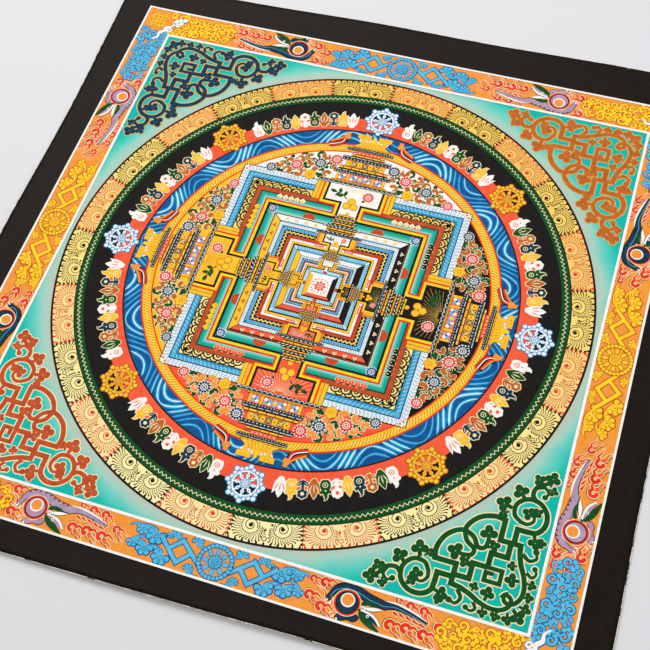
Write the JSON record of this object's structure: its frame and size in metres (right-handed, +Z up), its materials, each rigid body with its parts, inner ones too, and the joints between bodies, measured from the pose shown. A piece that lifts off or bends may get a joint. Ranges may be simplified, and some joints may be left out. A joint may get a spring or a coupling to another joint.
{
  "type": "thangka painting on canvas",
  "caption": "Square mandala thangka on a cut piece of cotton canvas, lying flat, with a bright patterned border and a plain black margin.",
  "frame": {"origin": "under the middle of the canvas's box, at the height of the surface that it lies on", "axes": "+Z up out of the painted face, +Y towards the painting's top edge, +X to its right"},
  "size_m": [0.5024, 0.5092, 0.0044],
  "materials": {
    "painted_canvas": "matt hand paint on primed cotton canvas"
  },
  "bodies": {
    "root": {"canvas": "painted_canvas"}
  },
  "joints": []
}
